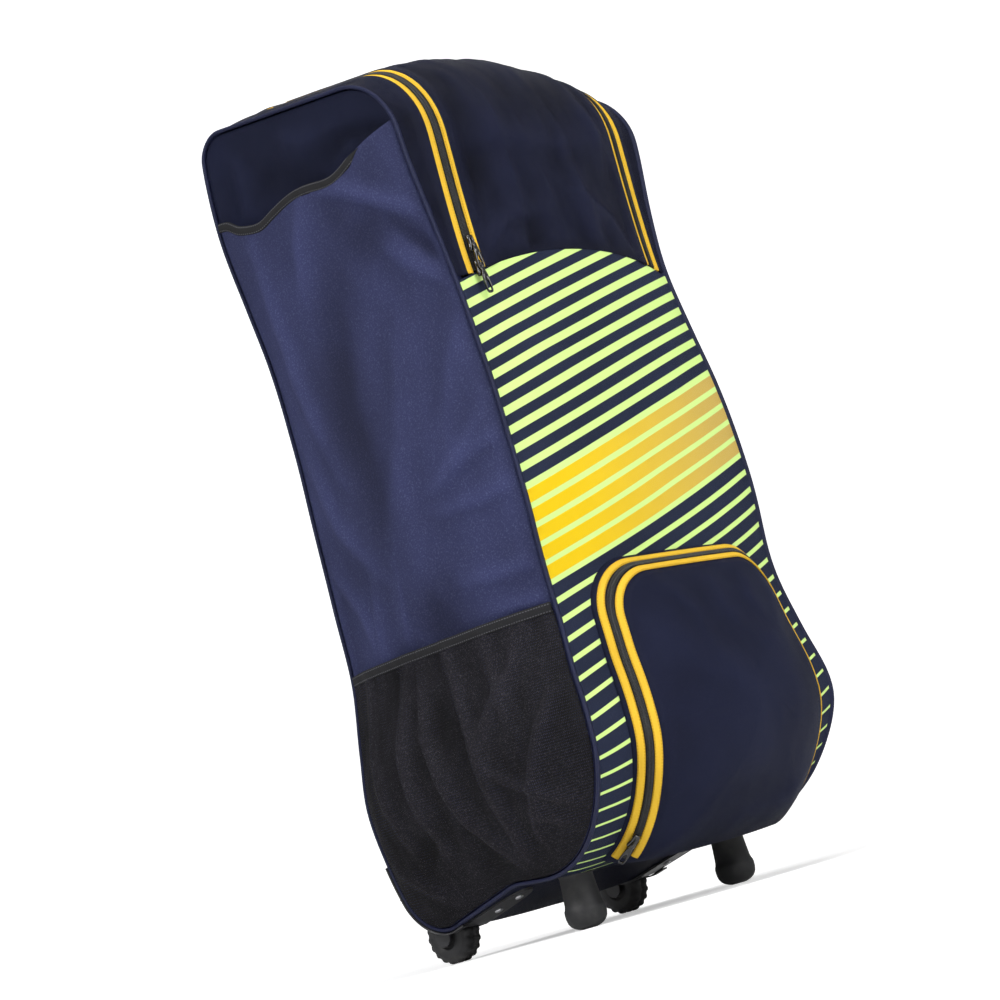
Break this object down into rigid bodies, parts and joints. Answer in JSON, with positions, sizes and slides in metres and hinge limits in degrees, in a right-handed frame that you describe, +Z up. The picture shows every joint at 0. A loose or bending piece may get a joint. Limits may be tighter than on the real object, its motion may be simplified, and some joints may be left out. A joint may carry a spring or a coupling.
{
  "type": "wheeled cricket kit bag",
  "caption": "tall wheeled kit bag with a zipped lid, a zipped front pocket, open bat sleeves and mesh pockets on both sides, and padded straps on the back",
  "frame": {"origin": "on the floor under the middle of the upright bag's bounding box", "axes": "+Z up along the bag's length; +X across the bag, to the right when its striped front is faced; the front faces -Y and the straps and wheels are at +Y"},
  "size_m": [0.4274, 0.3978, 0.9353],
  "materials": {
    "side_cloth": "plain woven navy polyester, coated inside",
    "satin_cloth": "dark navy polyester with a slight sheen",
    "striped_cloth": "dark navy cloth printed with slanted bright stripes",
    "pocket_cloth": "dark navy cloth",
    "mesh": "open knitted mesh, near black",
    "elastic": "ribbed charcoal elastic or webbing",
    "piping": "blue-navy piping, slightly glossy",
    "zip_tape": "orange-yellow woven zip tape",
    "zip_chain": "black coil teeth",
    "slider": "gloss black",
    "rubber": "matt black",
    "black_plastic": "fine-grained moulded",
    "steel": "bright zinc plate"
  },
  "bodies": {
    "bag": {"side_panel_left": "satin_cloth", "bat_sleeve_left": "side_cloth", "mesh_pocket_left": "mesh", "sleeve_binding_left": "elastic", "mesh_band_left": "elastic", "piping_left": "piping", "wheel_housing_left": "black_plastic", "axle_left": "steel", "rivet_left_1": "steel", "rivet_left_2": "steel", "foot_left": "rubber", "corner_guard_left": "black_plastic", "shoulder_strap_left": "pocket_cloth", "strap_webbing_left": "elastic", "strap_tab_left": "pocket_cloth", "webbing_tail_left": "elastic", "side_panel_right": "satin_cloth", "bat_sleeve_right": "side_cloth", "mesh_pocket_right": "mesh", "sleeve_binding_right": "elastic", "mesh_band_right": "elastic", "piping_right": "piping", "wheel_housing_right": "black_plastic", "axle_right": "steel", "rivet_right_1": "steel", "rivet_right_2": "steel", "foot_right": "rubber", "corner_guard_right": "black_plastic", "shoulder_strap_right": "pocket_cloth", "strap_webbing_right": "elastic", "strap_tab_right": "pocket_cloth", "webbing_tail_right": "elastic", "lid_panel": "satin_cloth", "lid_surround": "satin_cloth", "main_zip_chain": "zip_chain", "main_zip_tape_inner": "zip_tape", "main_zip_tape_outer": "zip_tape", "front_panel": "striped_cloth", "back_panel": "side_cloth", "base_panel": "pocket_cloth", "front_pocket": "pocket_cloth", "pocket_zip_tape_outer": "zip_tape", "pocket_zip_chain": "zip_chain", "pocket_zip_tape_inner": "zip_tape", "main_zip_upper_slider": "slider", "main_zip_upper_pull": "slider", "main_zip_lower_slider": "slider", "main_zip_lower_pull": "slider", "pocket_zip_slider": "slider", "pocket_zip_pull": "slider"},
    "wheel_left": {"wheel_left": "rubber"},
    "wheel_right": {"wheel_right": "rubber"}
  },
  "joints": [
    {"name": "wheel_left_spin", "type": "hinge", "parent": "bag", "child": "wheel_left", "pos_m": [-0.135, 0.16486, 0.029], "axis": [1, 0, 0], "continuous": true},
    {"name": "wheel_right_spin", "type": "hinge", "parent": "bag", "child": "wheel_right", "pos_m": [0.135, 0.16486, 0.029], "axis": [1, 0, 0], "continuous": true}
  ]
}
